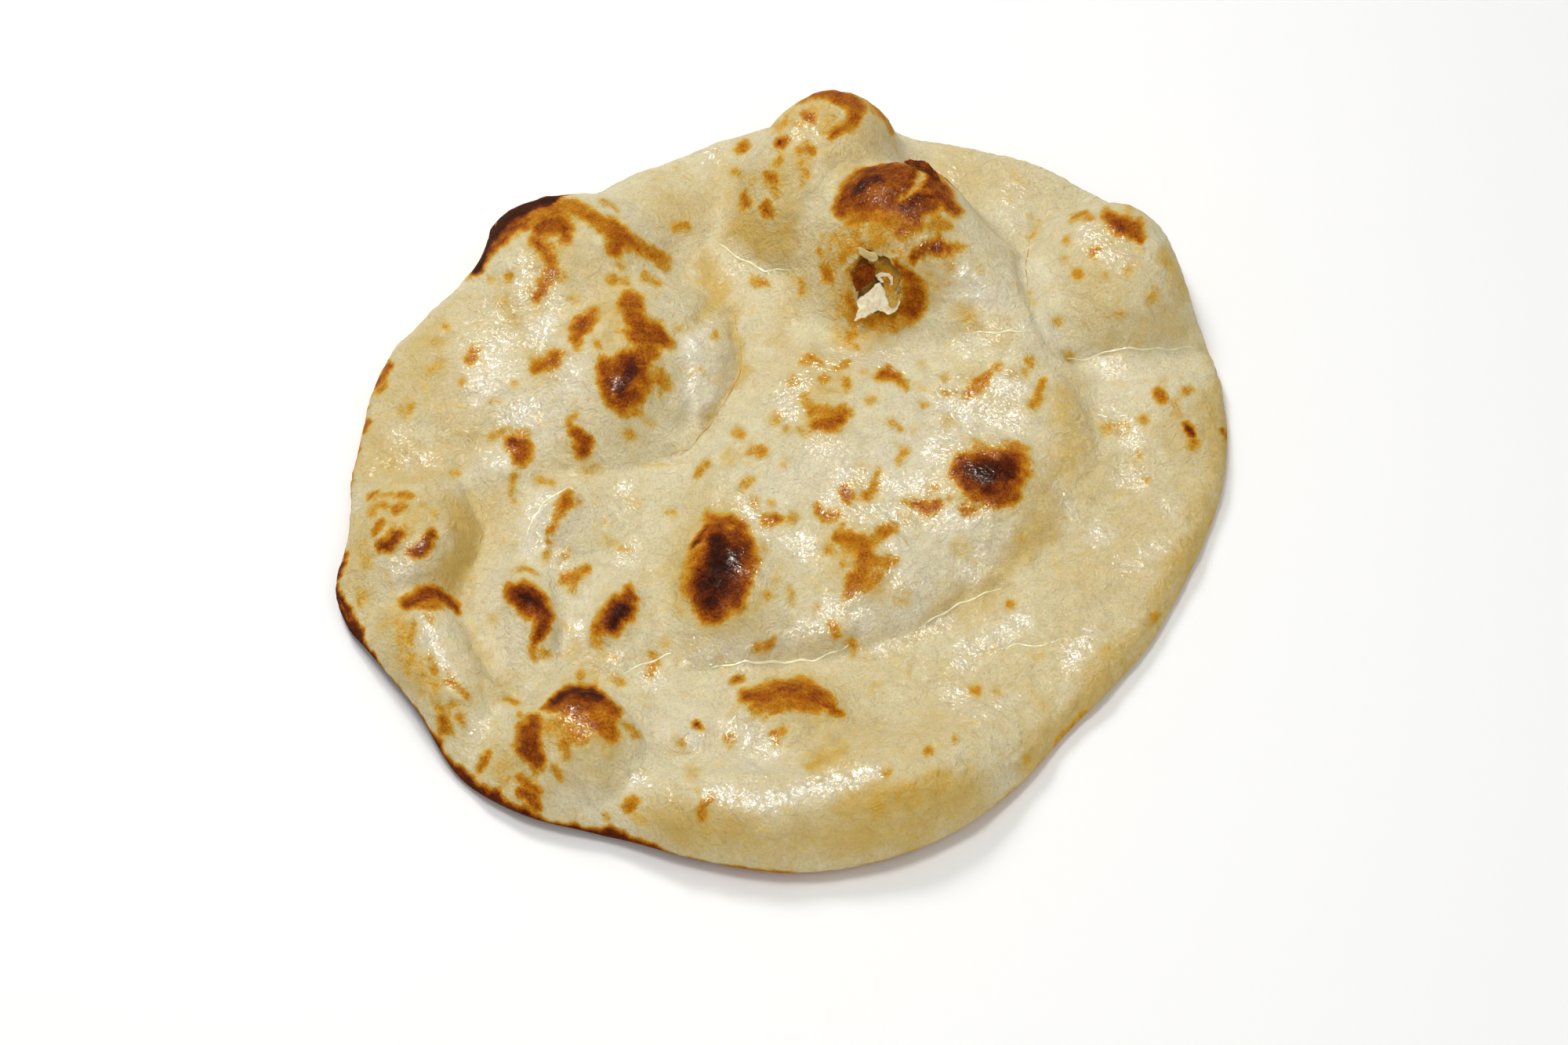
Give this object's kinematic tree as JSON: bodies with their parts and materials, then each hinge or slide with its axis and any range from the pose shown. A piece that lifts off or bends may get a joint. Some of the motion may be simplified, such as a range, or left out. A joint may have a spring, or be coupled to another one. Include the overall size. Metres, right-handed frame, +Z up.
{
  "type": "naan",
  "caption": "Round leavened flatbread with a blistered, browned top, a torn bubble and a flat underside, for serving and tearing.",
  "frame": {"origin": "middle of the bread's width and depth, on the table under it", "axes": "+Z up out of the blistered top, front edge of the bread facing -Y"},
  "size_m": [0.2356, 0.2614, 0.0399],
  "materials": {
    "crust": "pale baked dough with browned and charred blisters, brushed with butter"
  },
  "bodies": {
    "root": {"naan": "crust"}
  },
  "joints": []
}
